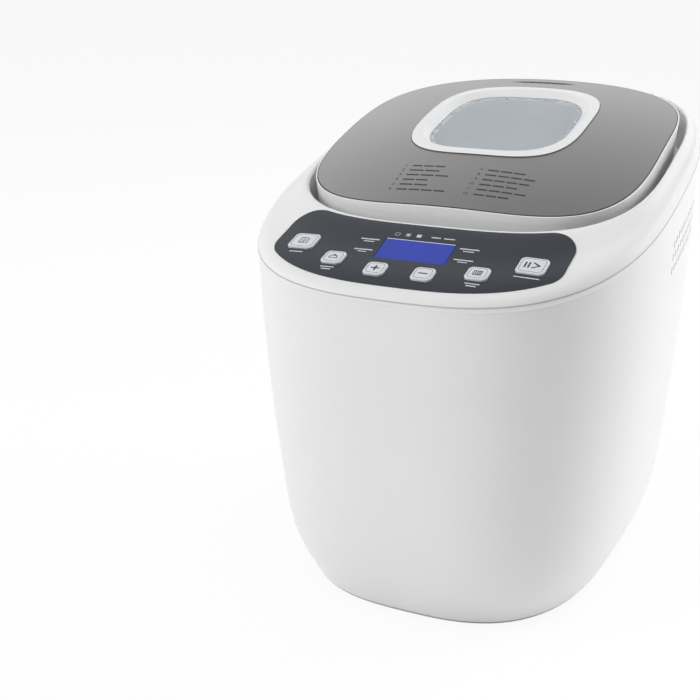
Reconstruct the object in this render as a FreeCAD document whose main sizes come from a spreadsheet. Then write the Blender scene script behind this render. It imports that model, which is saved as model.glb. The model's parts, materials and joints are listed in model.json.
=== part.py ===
"""Bread machine: tapered plastic housing, hinged windowed lid, keypad, oven, pan and belt drive.

Millimetres. X points right, Y to the rear, Z up. The origin is on the table under the middle.
"""
import FreeCAD, Part
import math
import os
from FreeCAD import Placement, Rotation, Vector

DOC = FreeCAD.newDocument("BreadMachine")
SHEET = DOC.addObject("Spreadsheet::Sheet", "Dims")

DIMENSIONS = {
    # Housing: half sizes of its rounded outline, from the base up to the deck
    "deck_half_width": 130.0,
    "deck_half_depth": 170.6,
    "deck_height": 269.7,
    "deck_slope": 0.24,
    "deck_power": 2.9,
    "base_half_width": 113.0,
    "base_half_depth": 158.0,
    "base_centre": 12.0,
    "base_power": 2.83,
    "base_height": 5.0,
    "base_rounding": 52.0,
    "base_tuck": 11.3,
    "side_top": 243.0,
    "side_bulge": 1.6,
    "shell_wall": 3.0,
    "parting_drop": 8.0,
    "base_plate_thickness": 2.0,
    "base_plate_inset": 1.5,
    "foot_radius": 9.0,
    "foot_height": 3.0,
    "foot_x": 66.0,
    "foot_y": 100.0,
    "shell_fit": 0.5,
    "gland_x": -62.0,
    "gland_z": 34.0,
    "gland_radius": 7.0,
    "gland_fit": 0.2,
    "gland_start": 143.2,
    "gland_length": 21.8,
    "gland_flange": 3.0,
    "gland_seat_radius": 3.6,
    "gland_seat_depth": 12.0,
    # Well in the deck that takes the lid
    "rim_half_width": 117.5,
    "rim_half_depth": 122.0,
    "rim_centre": 24.0,
    "rim_power": 3.3,
    "rim_height": 277.0,
    "rim_slope": 0.245,
    "well_depth": 26.0,
    "well_wall": 2.5,
    # Lid: its crowned top is part of a large ball
    "lid_half_width": 115.5,
    "lid_half_depth": 111.5,
    "lid_centre": 20.5,
    "lid_power": 3.5,
    "lid_taper": 4.5,
    "lid_drop": 20.0,
    "lid_wall": 2.6,
    "lid_gap": 0.15,
    "ball_radius": 680.0,
    "ball_y": 191.6,
    "ball_z": -356.8,
    "plate_half_width": 112.0,
    "plate_half_depth": 108.0,
    "plate_thickness": 1.2,
    "plate_proud": 0.3,
    "lid_ring_step": 26.0,
    "liner_thickness": 1.0,
    "liner_inset": 1.0,
    "seal_offset": 3.0,
    "seal_width": 4.0,
    "seal_gap": 0.5,
    "window_centre": 35.0,
    "window_power": 3.3,
    "bezel_half_width": 58.8,
    "bezel_half_depth": 64.2,
    "glass_half_width": 47.4,
    "glass_half_depth": 52.5,
    "glass_drop": 6.2,
    "glass_thickness": 3.0,
    "glass_ledge": 3.0,
    "inner_glass_margin": 5.0,
    "bezel_lip": 2.5,
    "bezel_under": 1.5,
    "bezel_proud": 0.5,
    "vent_half_width": 24.0,
    "vent_half_depth": 2.6,
    "vent_y": 117.0,
    "vent_power": 4.0,
    "vent_drop": 0.4,
    "vent_thickness": 2.8,
    "vent_slot": 1.6,
    "vent_slot_span": 17.0,
    "vent_bar": 2.2,
    "hinge_y": 141.0,
    "hinge_z": 308.0,
    "hinge_pin_radius": 1.8,
    "hinge_barrel_radius": 4.0,
    "hinge_inner_x": 42.0,
    "hinge_outer_x": 70.0,
    "hinge_arm_length": 14.0,
    "hinge_arm_height": 6.0,
    "hinge_arm_drop": 3.5,
    "ear_width": 8.0,
    "ear_gap": 0.6,
    "ear_margin": 0.5,
    "ear_back": 1.5,
    "ear_foot": 1.0,
    "running_gap": 0.05,
    # Keypad
    "panel_half_width": 92.0,
    "panel_margin": 5.5,
    "panel_thickness": 0.5,
    "panel_corner": 15.0,
    "key_rise": 1.6,
    "key_depth": 7.0,
    "key_gap": 0.4,
    "key_corner": 3.4,
    "key_edge": 0.7,
    "display_half_width": 22.3,
    "display_half_depth": 10.6,
    "display_y": -128.8,
    "display_rise": 0.4,
    "display_seat": 2.0,
    "module_inset": 0.5,
    "module_gap": 0.25,
    "board_half_width": 77.5,
    "board_depth": 50.0,
    "board_thickness": 1.6,
    "board_y": -131.0,
    "board_drop": 13.0,
    "boss_radius": 3.5,
    "boss_front_x": 58.4,
    "boss_front_y": -12.0,
    "boss_rear_x": 31.0,
    "boss_rear_y": 16.0,
    "switch_size": 6.0,
    "switch_gap": 1.4,
    # Oven
    "oven_half_width": 88.0,
    "oven_half_depth": 80.0,
    "oven_corner": 30.0,
    "oven_y": 25.0,
    "oven_floor": 62.0,
    "oven_wall": 1.0,
    "shaft_hole_radius": 13.0,
    "seat_outer_radius": 49.0,
    "seat_inner_radius": 45.5,
    "seat_height": 12.0,
    "tab_inner_radius": 42.0,
    "tab_outer_radius": 46.0,
    "tab_low": 71.0,
    "tab_high": 75.0,
    "tab_half_angle": 8.0,
    "probe_radius": 3.0,
    "probe_length": 12.0,
    "probe_z": 120.0,
    "heater_radius": 3.2,
    "heater_half_width": 80.0,
    "heater_half_depth": 72.5,
    "heater_bend": 26.0,
    "heater_z": 75.0,
    "stand_width": 6.0,
    "stand_length": 8.0,
    "stand_y": 30.0,
    # Bread pan
    "pan_half_width": 68.0,
    "pan_half_depth": 60.0,
    "pan_corner": 25.0,
    "pan_bottom": 84.0,
    "pan_top": 214.0,
    "pan_wall": 1.4,
    "pan_flange": 3.0,
    "pan_flange_thickness": 1.5,
    "pan_ring_radius": 41.0,
    "pan_ring_wall": 4.0,
    "pan_ring_low": 63.2,
    "pan_lug_reach": 3.8,
    "pan_lug_high": 70.0,
    "pan_ear_half": 6.0,
    "pan_ear_overlap": 10.0,
    "bush_radius": 9.0,
    "bush_flange_radius": 14.0,
    "bush_flange": 4.0,
    "bush_rise": 12.0,
    "pivot_radius": 2.2,
    "pivot_length": 9.0,
    "pivot_head_radius": 4.0,
    "pivot_head": 1.2,
    "handle_pivot_z": 218.0,
    "handle_arm": 34.0,
    "handle_x": 73.5,
    "handle_rod": 2.0,
    "handle_bend": 12.0,
    "handle_eye": 5.0,
    # Drive
    "shaft_radius": 4.0,
    "shaft_below": 4.0,
    "shaft_above": 5.0,
    "pulley_radius": 45.0,
    "motor_pulley_radius": 9.0,
    "pulley_bottom": 22.0,
    "pulley_height": 12.0,
    "pulley_flange": 2.5,
    "belt_gap": 0.3,
    "belt_thickness": 1.6,
    "belt_height": 8.0,
    "frame_half_width": 96.0,
    "frame_half_depth": 136.0,
    "frame_y": 6.0,
    "frame_plate_z": 40.0,
    "frame_plate_thickness": 4.0,
    "post_radius": 6.0,
    "post_x": 62.0,
    "post_y": 92.0,
    "oven_post_y": 52.0,
    "bearing_radius": 12.0,
    "bearing_below": 2.0,
    "bearing_length": 24.0,
    "bearing_flange_radius": 20.0,
    "bearing_flange": 5.0,
    "motor_x": 46.0,
    "motor_y": -98.0,
    "motor_radius": 32.0,
    "motor_height": 62.0,
    "motor_hole_radius": 8.0,
    "motor_shaft_depth": 20.0,
    "motor_shaft_end": 0.5,
    "coupling_radius": 11.0,
    "coupling_hub": 3.8,
    "coupling_lift": 1.2,
    "wing_inner_radius": 5.0,
    "wing_height": 6.0,
    "wing_half_angle": 22.0,
    "spindle_below": 10.0,
    "spindle_length": 46.0,
    "paddle_reach": 42.0,
    "paddle_thickness": 8.0,
    "paddle_height": 30.0,
    "paddle_lift": 15.5,
    "paddle_hub_radius": 10.0,
    "paddle_hub_height": 20.0,
    "power_board_x": -76.0,
    "power_board_y": -104.0,
    "power_board_length": 60.0,
    "power_board_width": 44.0,
    "power_board_lift": 6.0,
    "board_stand_radius": 3.0,
    "board_stand_inset": 6.0,
    "capacitor_radius": 11.0,
    "capacitor_height": 34.0,
    "capacitor_x": -46.0,
    "capacitor_y": -82.0,
}

for row, (alias, value) in enumerate(DIMENSIONS.items(), start=1):
    SHEET.set(f"A{row}", alias)
    SHEET.set(f"B{row}", str(value))
    SHEET.setAlias(f"B{row}", alias)
DOC.recompute()

OUTLINE_POINTS = 28
SIDE_RINGS = 7
LOWEST_RING = 0.35
FAR = 400.0
CUT_REACH = 50.0
# Share of the way from the deck's edge to the rim, with the lift over a straight slope
DECK_STATIONS = ((0.0, -2.6), (0.05, -0.6), (0.3, 1.0), (0.65, 1.0), (1.0, 0.0))
SUB_PARTS = []


def dim(alias):
    """A driving dimension, read from the sheet."""
    return float(SHEET.get(alias))


def cell(alias):
    """The sheet's name for a dimension inside an expression."""
    return f"Dims.{alias}"


def keep(obj, label):
    """Give an object the label that names its file and list it as a sub-part."""
    obj.Label = label
    SUB_PARTS.append(obj)
    return obj


def feature(label, shape):
    """A sub-part whose free-form shape no primitive or sketch describes."""
    obj = DOC.addObject("Part::Feature", label)
    obj.Shape = shape
    return keep(obj, label)


# Outlines and solids shared by the housing and the lid


def outline(half_x, half_y, centre_y, power, height, slope=0.0):
    """A rounded squarish closed curve on the plane z = height + slope * y."""
    points = []
    for step in range(OUTLINE_POINTS):
        angle = 2 * math.pi * step / OUTLINE_POINTS
        cosine = math.cos(angle)
        sine = math.sin(angle)
        reach = (abs(cosine / half_x) ** power + abs(sine / half_y) ** power) ** (-1 / power)
        y = centre_y + reach * sine
        points.append(Vector(reach * cosine, y, height + slope * y))
    curve = Part.BSplineCurve()
    curve.interpolate(points, True)
    return Part.Wire([curve.toShape()])


def column(half_x, half_y, centre_y, power, low, high):
    """A straight solid on one outline, between two planes given as (height, slope)."""
    ends = [outline(half_x, half_y, centre_y, power, *plane) for plane in (low, high)]
    return Part.makeLoft(ends, True, True)


def above(height, slope):
    """Everything over the plane z = height + slope * y."""
    corners = [(-FAR, height - slope * FAR), (FAR, height + slope * FAR), (FAR, 2 * FAR), (-FAR, 2 * FAR)]
    points = [Vector(-FAR, y, z) for y, z in corners]
    face = Part.Face(Part.makePolygon(points + points[:1]))
    return face.extrude(Vector(2 * FAR, 0, 0))


def rounded_block(half_x, half_y, centre_y, corner, low, high):
    """An upright block with round vertical edges."""
    block = Part.makeBox(2 * half_x, 2 * half_y, high - low, Vector(-half_x, centre_y - half_y, low))
    upright = [edge for edge in block.Edges if abs(edge.tangentAt(edge.FirstParameter).z) > 0.99]
    return block.makeFillet(corner, upright)


def ball(growth=0.0):
    """The ball whose top is the lid's crowned face, grown or shrunk."""
    return Part.makeSphere(dim("ball_radius") + growth, Vector(0, dim("ball_y"), dim("ball_z")))


def rim_plane(offset):
    """A plane parallel to the rim of the lid's well."""
    return (dim("rim_height") + offset, dim("rim_slope"))


def body_loft(inset):
    """The housing's tapered outside, or its inside when inset by a wall."""
    low_width = dim("base_half_width")
    low_depth = dim("base_half_depth")
    floor = dim("base_height")
    round_off = dim("base_rounding")
    heights = [floor, floor + LOWEST_RING * round_off, floor + round_off]
    top = dim("side_top")
    heights += [heights[2] + (top - heights[2]) * (index + 1) / SIDE_RINGS for index in range(SIDE_RINGS)]
    sections = []
    for height in heights:
        # The walls lean out less and less with height, and the lowest edge is tucked under
        tuck = dim("base_tuck") * max(0.0, 1 - (height - floor) / round_off) ** 2
        grown = 1 - max(0.0, (top - height) / (top - floor)) ** dim("side_bulge")
        sections.append(outline(
            low_width + grown * (dim("deck_half_width") - low_width) - tuck - inset,
            low_depth + grown * (dim("deck_half_depth") - low_depth) - tuck - inset,
            dim("base_centre") * (1 - grown),
            dim("base_power") + grown * (dim("deck_power") - dim("base_power")),
            height))
    taper = Part.makeLoft(sections, True, False)
    straight = column(dim("deck_half_width") - inset, dim("deck_half_depth") - inset, 0, dim("deck_power"),
                      (top, 0), (FAR, 0))
    return taper.fuse(straight)


def deck_loft(inset, drop):
    """The upper housing from the parting line over its round edge to the rim of the well."""
    outer = (dim("deck_half_width"), dim("deck_half_depth"), 0.0, dim("deck_power"),
             dim("deck_height"), dim("deck_slope"))
    inner = (dim("rim_half_width"), dim("rim_half_depth"), dim("rim_centre"), dim("rim_power"),
             dim("rim_height"), dim("rim_slope"))
    sections = []
    for share, lift in ((0.0, -dim("parting_drop") - 2 * inset), *DECK_STATIONS):
        half_x, half_y, centre, power, height, slope = (
            start + share * (end - start) for start, end in zip(outer, inner))
        edge_inset = inset * (1 - share)
        sections.append(outline(half_x - edge_inset, half_y - edge_inset, centre, power,
                                height + lift - drop, slope))
    return Part.makeLoft(sections, True, False)


DECK = deck_loft(0.0, 0.0)


def deck_point(x, y):
    """The point of the deck's top over a place."""
    probe = Part.makeLine(Vector(x, y, 0), Vector(x, y, FAR))
    return Vector(x, y, DECK.common(probe).BoundBox.ZMax)


def deck_normal(x, y):
    """The outward direction of the deck's top over a place."""
    step = 3.0
    across = deck_point(x + step, y) - deck_point(x - step, y)
    along = deck_point(x, y + step) - deck_point(x, y - step)
    return across.cross(along).normalize()


def on_deck(shape, x, y):
    """Move a shape built about the origin onto the deck, square to its top."""
    turn = Rotation(Vector(1, 0, 0), Vector(0, 0, 0), deck_normal(x, y), "ZXY")
    moved = shape.copy()
    moved.Placement = Placement(deck_point(x, y), turn)
    return moved


def key_block(half, low, high):
    """A square key with round corners, about the origin."""
    return rounded_block(half, half, 0, dim("key_corner"), low, high)


# Name, place on the deck and half size of each key
KEYS = {
    "key_menu": (-73.0, -130.0, 8.6),
    "key_weight": (-45.5, -145.0, 6.8),
    "key_plus": (-15.0, -152.0, 6.6),
    "key_minus": (15.0, -152.0, 6.6),
    "key_crust": (45.5, -145.0, 6.8),
    "key_start": (73.0, -130.0, 8.6),
}


# Housing


def side_vents():
    """Rows of short upright slits through both side walls, rising with the deck."""
    slit_reach = 20.0
    slit_width = 2.2
    slit_height = 5.0
    columns = 10
    rows = 3
    pitch_y = 7.0
    pitch_z = 9.0
    first_y = -12.0
    below_deck = 28.0
    cuts = []
    for side in (-1, 1):
        for column_index in range(columns):
            y = first_y + column_index * pitch_y
            for row_index in range(rows):
                z = dim("deck_height") + dim("deck_slope") * y - below_deck - row_index * pitch_z
                corner = Vector(side * dim("deck_half_width") - slit_reach / 2, y - slit_width / 2, z - slit_height)
                cuts.append(Part.makeBox(slit_reach, slit_width, slit_height, corner))
    return cuts


def gland_cylinder(radius, start, length):
    """A cylinder along Y at the rear inlet."""
    return Part.makeCylinder(radius, length, Vector(dim("gland_x"), start, dim("gland_z")), Vector(0, 1, 0))


def build_lower_housing():
    """Tapered shell up to the parting line, with side vents and the rear inlet's hole."""
    parting = above(dim("deck_height") - dim("parting_drop"), dim("deck_slope"))
    shell = body_loft(0.0).cut(body_loft(dim("shell_wall"))).cut(parting)
    shell = shell.cut(side_vents()).cut(gland_cylinder(dim("gland_radius"), dim("gland_start"), CUT_REACH))
    feature("lower_housing", shell)


def build_base():
    """Base plate under the shell's edge, and four feet."""
    top = dim("base_height")
    inset = dim("base_tuck") + dim("base_plate_inset")
    plate = column(dim("base_half_width") - inset, dim("base_half_depth") - inset, dim("base_centre"),
                   dim("base_power"), (top - dim("base_plate_thickness"), 0), (top, 0))
    feature("base_plate", plate)
    for index, (side, end) in enumerate(((-1, -1), (1, -1), (-1, 1), (1, 1)), start=1):
        foot = DOC.addObject("Part::Cylinder", f"foot_{index}")
        foot.setExpression("Radius", cell("foot_radius"))
        foot.setExpression("Height", cell("foot_height"))
        foot.setExpression("Placement.Base.x", f"{side} * {cell('foot_x')}")
        foot.setExpression("Placement.Base.y", f"{end} * {cell('foot_y')} + {cell('base_centre')}")
        keep(foot, f"foot_{index}")


def build_gland():
    """Flanged inlet at the rear, with a blind round seat."""
    start = dim("gland_start")
    end = start + dim("gland_length")
    flange = gland_cylinder(dim("gland_radius") + dim("gland_flange"), start, dim("gland_flange"))
    barrel = gland_cylinder(dim("gland_radius") - dim("gland_fit"), start, dim("gland_length"))
    seat = gland_cylinder(dim("gland_seat_radius"), end - dim("gland_seat_depth"), dim("gland_length"))
    feature("cord_gland", flange.fuse(barrel).cut(seat))


def key_cuts(grow):
    """Holes for the keys and the display, grown by a gap."""
    cuts = [on_deck(key_block(half + grow, -CUT_REACH, CUT_REACH), x, y) for x, y, half in KEYS.values()]
    half_width = dim("display_half_width") + grow
    half_depth = dim("display_half_depth") + grow
    window = Part.makeBox(2 * half_width, 2 * half_depth, 2 * CUT_REACH, Vector(-half_width, -half_depth, -CUT_REACH))
    cuts.append(on_deck(window, 0, dim("display_y")))
    return cuts


def hinge_cylinder(radius, start, end):
    """A cylinder along the lid's hinge axis between two places on X."""
    return Part.makeCylinder(radius, end - start, Vector(start, dim("hinge_y"), dim("hinge_z")), Vector(1, 0, 0))


def hinge_ears():
    """Two ears in the well's rear that hold the hinge pins."""
    half = dim("hinge_barrel_radius") + dim("ear_margin")
    low = dim("rim_height") + dim("rim_slope") * dim("hinge_y") - dim("well_depth") - dim("ear_foot")
    width = dim("ear_width")
    ears = []
    for side in (-1, 1):
        start = side * (dim("hinge_outer_x") + dim("ear_gap") + width / 2) - width / 2
        corner = Vector(start, dim("hinge_y") - half, low)
        ear = Part.makeBox(width, 2 * half + dim("ear_back"), dim("hinge_z") - low, corner)
        ears.append(ear.fuse(hinge_cylinder(half, start, start + width)))
    return ears


def barrel_room():
    """Notches in the well's rear wall, open at the top, in which the lid's barrels and arms turn."""
    radius = dim("hinge_barrel_radius") + dim("ear_margin")
    width = dim("hinge_outer_x") - dim("hinge_inner_x") + 2 * dim("ear_gap")
    notches = []
    for start in (dim("hinge_inner_x") - dim("ear_gap"), -dim("hinge_outer_x") - dim("ear_gap")):
        corner = Vector(start, dim("hinge_y") - radius, dim("hinge_z"))
        slot = Part.makeBox(width, 2 * radius, CUT_REACH, corner)
        notches.append(hinge_cylinder(radius, start, start + width).fuse(slot))
    return notches


def build_top_housing():
    """Deck with the lid's well, the keypad's holes and the hinge ears."""
    wall = dim("well_wall")
    lowest = dim("well_depth")
    rim = (dim("rim_half_width"), dim("rim_half_depth"))
    shape = (dim("rim_centre"), dim("rim_power"))
    hollow = deck_loft(dim("shell_wall"), dim("shell_wall"))
    well_outside = column(rim[0] + wall, rim[1] + wall, *shape, rim_plane(-lowest - wall), rim_plane(-wall / 2))
    well_inside = column(*rim, *shape, rim_plane(-lowest), rim_plane(CUT_REACH))
    room = DECK.fuse(body_loft(dim("shell_wall") + dim("shell_fit")))
    deck = DECK.cut(hollow).fuse(well_outside.common(room)).fuse(board_bosses())
    deck = deck.cut(well_inside).fuse(hinge_ears())
    mouth = rounded_block(dim("oven_half_width") - dim("oven_wall"), dim("oven_half_depth") - dim("oven_wall"),
                          dim("oven_y"), dim("oven_corner") - dim("oven_wall"), dim("oven_floor"), FAR)
    bores = hinge_cylinder(dim("hinge_pin_radius"), -FAR, FAR)
    deck = deck.cut(mouth).cut(key_cuts(dim("key_gap"))).cut(bores).cut(barrel_room())
    feature("top_housing", deck.removeSplitter())


def build_hinge_pins():
    """A pin through each ear and lid barrel."""
    for name, side in (("hinge_pin_left", -1), ("hinge_pin_right", 1)):
        pin = DOC.addObject("Part::Cylinder", name)
        pin.setExpression("Radius", cell("hinge_pin_radius"))
        pin.setExpression("Height", f"{cell('hinge_outer_x')} - {cell('hinge_inner_x')} + {cell('ear_gap')}"
                                    f" + {cell('ear_width')}")
        start = dim("hinge_inner_x")
        pin.Placement = Placement(Vector(side * start, dim("hinge_y"), dim("hinge_z")),
                                  Rotation(Vector(0, 0, 1), Vector(side, 0, 0)))
        keep(pin, name)


def build_keypad():
    """Overlay on the deck, display, keys, and the board with its switches underneath."""
    margin = dim("panel_margin")
    band = column(dim("deck_half_width") - margin, dim("deck_half_depth") - margin, 0, dim("deck_power"),
                  (0, 0), (FAR, 0))
    band = band.cut(column(dim("rim_half_width") + margin, dim("rim_half_depth") + margin, dim("rim_centre"),
                           dim("rim_power"), (-1, 0), (FAR + 1, 0)))
    half = dim("panel_half_width")
    band = band.common(Part.makeBox(2 * half, FAR, FAR, Vector(-half, -FAR + dim("window_centre"), 0)))
    band = [solid for solid in band.Solids if solid.CenterOfMass.y < 0][0]
    upright = [edge for edge in band.Edges if edge.BoundBox.ZLength > FAR / 2]
    band = band.makeFillet(dim("panel_corner"), upright)
    skin = deck_loft(0.0, -dim("panel_thickness")).cut(DECK)
    feature("panel_overlay", band.common(skin).cut(key_cuts(dim("key_gap"))))
    wide = dim("display_half_width")
    deep = dim("display_half_depth")
    seat = dim("display_seat")
    window = Part.makeBox(2 * wide, 2 * deep, seat + dim("display_rise"), Vector(-wide, -deep, -seat))
    feature("display_window", on_deck(window, 0, dim("display_y")))
    wide -= dim("module_inset")
    deep -= dim("module_inset")
    low = dim("module_gap") - dim("board_drop")
    module = Part.makeBox(2 * wide, 2 * deep, -seat - low, Vector(-wide, -deep, low))
    feature("display_module", on_deck(module, 0, dim("display_y")))
    for name, (x, y, half_size) in KEYS.items():
        block = key_block(half_size, -dim("key_depth"), dim("key_rise"))
        top = [edge for edge in block.Edges if edge.BoundBox.ZMin > 0]
        feature(name, on_deck(block.makeFillet(dim("key_edge"), top), x, y))
        axis = deck_normal(x, y)
        print(f"{name} presses along ({-axis.x:.4f}, {-axis.y:.4f}, {-axis.z:.4f})")
    build_board()


def board_place():
    """Where the control board's top lies, tilted like the deck."""
    normal = deck_normal(0, dim("board_y"))
    tilt = Rotation(Vector(1, 0, 0), Vector(0, 0, 0), normal, "ZXY")
    return Placement(deck_point(0, dim("board_y")) - normal * dim("board_drop"), tilt)


def board_bosses():
    """Four bosses under the deck that carry the control board."""
    length = dim("board_drop") - dim("shell_wall") / 2
    spots = [(side * dim(f"boss_{row}_x"), dim(f"boss_{row}_y")) for side in (-1, 1) for row in ("front", "rear")]
    bosses = []
    for x, y in spots:
        boss = Part.makeCylinder(dim("boss_radius"), length)
        boss.Placement = board_place().multiply(Placement(Vector(x, y, 0), Rotation()))
        bosses.append(boss)
    return bosses


def build_board():
    """Control board on its bosses, with a switch under each key."""
    place = board_place()
    corner = Vector(-dim("board_half_width"), -dim("board_depth") / 2, -dim("board_thickness"))
    body = DOC.addObject("PartDesign::Body", "control_board")
    plane = [item for item in body.Origin.OriginFeatures if item.Role == "XY_Plane"][0]
    sketch = body.newObject("Sketcher::SketchObject", "board_outline")
    sketch.AttachmentSupport = [(plane, "")]
    sketch.MapMode = "FlatFace"
    points = [Vector(corner.x, corner.y, 0), Vector(-corner.x, corner.y, 0),
              Vector(-corner.x, -corner.y, 0), Vector(corner.x, -corner.y, 0)]
    for start, end in zip(points, points[1:] + points[:1]):
        sketch.addGeometry(Part.LineSegment(start, end))
    pad = body.newObject("PartDesign::Pad", "board_pad")
    pad.Profile = sketch
    pad.setExpression("Length", cell("board_thickness"))
    pad.Reversed = True
    body.Placement = place
    keep(body, "control_board")
    switches = []
    for x, y, _ in KEYS.values():
        foot = deck_point(x, y) - deck_normal(x, y) * (dim("key_depth") + dim("switch_gap"))
        local = place.inverse().multVec(foot)
        size = dim("switch_size")
        block = Part.makeBox(size, size, local.z, Vector(local.x - size / 2, local.y - size / 2, 0))
        block.Placement = place
        switches.append(block)
    feature("key_switches", Part.makeCompound(switches))


# Lid


def build_lid():
    """Frame, steel plate, window, liner, seal and steam vent of the lid."""
    centre = dim("lid_centre")
    power = dim("lid_power")
    taper = dim("lid_taper")
    low = rim_plane(-dim("lid_drop"))
    width = dim("lid_half_width")
    depth = dim("lid_half_depth")
    wall = dim("lid_wall")
    gap = dim("lid_gap")

    def shell(inset):
        """The lid's leaning wall, closed, or its inside when inset by a wall."""
        sections = []
        for ring in range(3):
            shrink = inset + taper * (1 - ring / 2)
            plane = rim_plane(ring * dim("lid_ring_step") - dim("lid_drop"))
            sections.append(outline(width - shrink, depth - shrink, centre, power, *plane))
        return Part.makeLoft(sections, True, False)

    plate_column = column(dim("plate_half_width"), dim("plate_half_depth"), centre, power, low, (FAR, 0))
    window = (dim("window_centre"), dim("window_power"))
    through = ((dim("oven_floor"), 0), (FAR, 0))
    bezel_hole = column(dim("bezel_half_width"), dim("bezel_half_depth"), *window, *through)
    vent_shape = (dim("vent_y"), dim("vent_power"))
    vent = column(dim("vent_half_width"), dim("vent_half_depth"), *vent_shape, *through)
    frame = shell(0.0).common(ball(-dim("plate_proud")))
    hollow = shell(wall).common(ball(-dim("plate_thickness") - wall))
    plate_seat = plate_column.cut(ball(-dim("plate_thickness")))
    barrels = []
    for side in (-1, 1):
        ends = sorted((side * dim("hinge_inner_x"), side * dim("hinge_outer_x")))
        barrel = hinge_cylinder(dim("hinge_barrel_radius"), *ends)
        reach = dim("hinge_arm_length")
        corner = Vector(ends[0], dim("hinge_y") - reach, dim("hinge_z") - dim("hinge_arm_drop"))
        arm = Part.makeBox(ends[1] - ends[0], reach, dim("hinge_arm_height"), corner)
        barrels.append(barrel.fuse(arm))
    bore = hinge_cylinder(dim("hinge_pin_radius") + dim("running_gap"), -FAR, FAR)
    frame = frame.cut(hollow).cut(plate_seat)
    frame = frame.fuse([arm.cut(hollow).cut(plate_seat) for arm in barrels])
    feature("lid_frame", frame.cut(bezel_hole).cut(vent).cut(bore).removeSplitter())

    sheet = column(dim("plate_half_width") - gap, dim("plate_half_depth") - gap, centre, power, low, (FAR, 0))
    sheet = sheet.common(ball()).cut(ball(-dim("plate_thickness")))
    feature("lid_plate", sheet.cut(bezel_hole).cut(vent))

    # The window's flat pane is parallel to the lid's face at the middle of the window
    pane_y = dim("window_centre")
    rise = math.sqrt(dim("ball_radius") ** 2 - (dim("ball_y") - pane_y) ** 2)
    slope = (dim("ball_y") - pane_y) / rise
    face_height = dim("ball_z") + rise - slope * pane_y
    pane_top = face_height - dim("glass_drop")
    pane_low = pane_top - dim("glass_thickness")
    lip = dim("bezel_lip")
    ledge = dim("glass_ledge")
    ring = column(dim("bezel_half_width") - gap, dim("bezel_half_depth") - gap, *window,
                  (pane_low - dim("bezel_under"), slope), (FAR, 0)).common(ball(dim("bezel_proud")))
    throat = outline(dim("glass_half_width"), dim("glass_half_depth"), *window, pane_low, slope)
    neck = outline(dim("glass_half_width"), dim("glass_half_depth"), *window, pane_top, slope)
    mouth = outline(dim("bezel_half_width") - lip, dim("bezel_half_depth") - lip, *window,
                    face_height + 4 * dim("bezel_proud"), slope)
    light = column(dim("glass_half_width") - ledge, dim("glass_half_depth") - ledge, *window, *through)
    funnel = Part.makeLoft([neck, mouth], True, True)
    seat = Part.makeLoft([throat, neck], True, True)
    feature("window_bezel", ring.cut(funnel).cut(seat).cut(light))
    pane = column(dim("glass_half_width") - gap, dim("glass_half_depth") - gap, *window,
                  (pane_low, slope), (pane_top, slope))
    feature("window_glass", pane)

    under = -dim("lid_drop")
    skin = dim("liner_thickness")
    inset = taper + dim("liner_inset")
    liner = column(width - inset, depth - inset, centre, power, rim_plane(under - skin), rim_plane(under))
    feature("lid_liner", liner.cut(column(dim("glass_half_width"), dim("glass_half_depth"), *window, *through)))
    margin = dim("inner_glass_margin")
    feature("inner_window", column(dim("glass_half_width") + margin, dim("glass_half_depth") + margin, *window,
                                   rim_plane(under), rim_plane(under + dim("glass_thickness"))))
    seal_low = above(*rim_plane(dim("seal_gap") - dim("well_depth")))
    seal_high = above(*rim_plane(under - skin))
    outer, core = (rounded_block(dim("oven_half_width") + grow, dim("oven_half_depth") + grow, dim("oven_y"),
                                 dim("oven_corner") + grow, dim("oven_floor"), FAR)
                   for grow in (dim("seal_offset") + dim("seal_width"), dim("seal_offset")))
    feature("lid_seal", outer.cut(core).common(seal_low).cut(seal_high))

    grille = column(dim("vent_half_width") - gap, dim("vent_half_depth") - gap, *vent_shape, *through)
    top = -dim("vent_drop")
    grille = grille.common(ball(top)).cut(ball(top - dim("vent_thickness")))
    slots = 6
    pitch = 2 * dim("vent_slot_span") / slots
    length = pitch - dim("vent_bar")
    for index in range(slots):
        start = -dim("vent_slot_span") + index * pitch + dim("vent_bar") / 2
        corner = Vector(start, dim("vent_y") - dim("vent_slot") / 2, 0)
        grille = grille.cut(Part.makeBox(length, dim("vent_slot"), FAR, corner))
    feature("lid_vent", grille)


# Oven


def drive_cylinder(radius, low, high):
    """A cylinder about the drive's axis between two heights."""
    return Part.makeCylinder(radius, high - low, Vector(0, dim("oven_y"), low))


def shaft_bore():
    """A running bore for the drive's shafts."""
    return drive_cylinder(dim("shaft_radius") + dim("running_gap"), 0, FAR)


def sector(inner, outer, low, high, middle, half_angle):
    """A block of a ring about the drive's axis, centred on an angle in degrees."""
    start = Vector(0, dim("oven_y"), low)
    wedge = Part.makeCylinder(outer, high - low, start, Vector(0, 0, 1), 2 * half_angle)
    wedge = wedge.cut(drive_cylinder(inner, low, high))
    wedge.rotate(start, Vector(0, 0, 1), middle - half_angle)
    return wedge


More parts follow.
